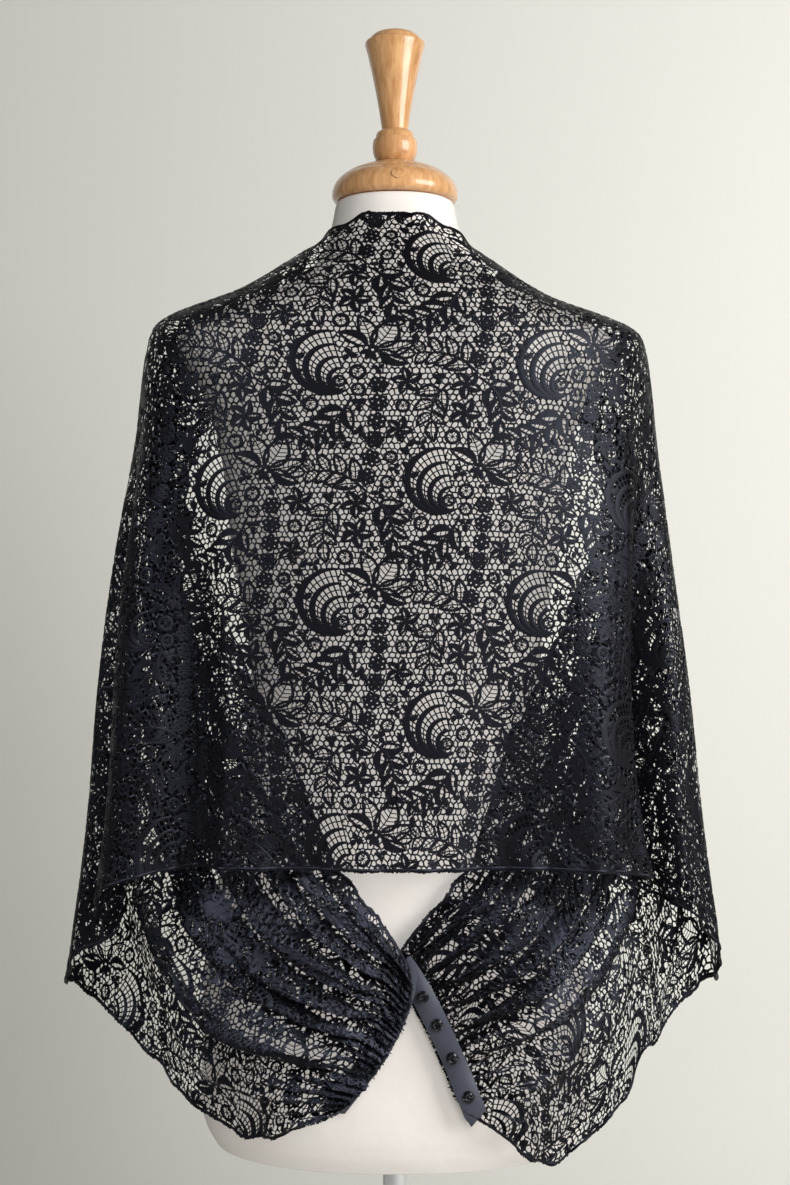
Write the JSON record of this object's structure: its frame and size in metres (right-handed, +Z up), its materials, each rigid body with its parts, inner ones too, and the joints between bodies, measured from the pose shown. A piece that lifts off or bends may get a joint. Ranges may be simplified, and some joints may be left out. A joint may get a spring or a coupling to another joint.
{
  "type": "lace shawl on a dress form",
  "caption": "Black lace rectangle worn as a shrug with gathered snap-tape ends low on the back, on a limbless cloth-covered dress form with turned wood neck, pole and round base.",
  "frame": {"origin": "centre of the base's underside, on the floor under the pole", "axes": "+Z up, -Y the wearer's back that the picture shows, +Y the chest, +X the wearer's right-hand side"},
  "size_m": [0.5792, 0.32, 1.3213],
  "materials": {
    "lace": "black raschel lace, soft sheen on the folds",
    "tape": "charcoal satin-faced tape",
    "snap": "dark lacquered sew-on snaps",
    "cover": "off-white stretched jersey cover",
    "wood": "turned light wood, clear gloss lacquer",
    "chrome": "polished chrome plate"
  },
  "bodies": {
    "root": {"shawl_back": "lace", "shawl_wrap_left": "lace", "shawl_wrap_right": "lace", "snap_tape_left": "tape", "snap_tape_right": "tape", "snap_stud_1": "snap", "snap_stud_2": "snap", "snap_stud_3": "snap", "snap_stud_4": "snap", "snap_stud_5": "snap", "snap_socket_1": "snap", "snap_socket_2": "snap", "snap_socket_3": "snap", "snap_socket_4": "snap", "snap_socket_5": "snap", "form_torso": "cover", "neck_cap": "wood", "neck_finial": "wood", "stand_pole": "chrome", "stand_base": "chrome"}
  },
  "joints": []
}
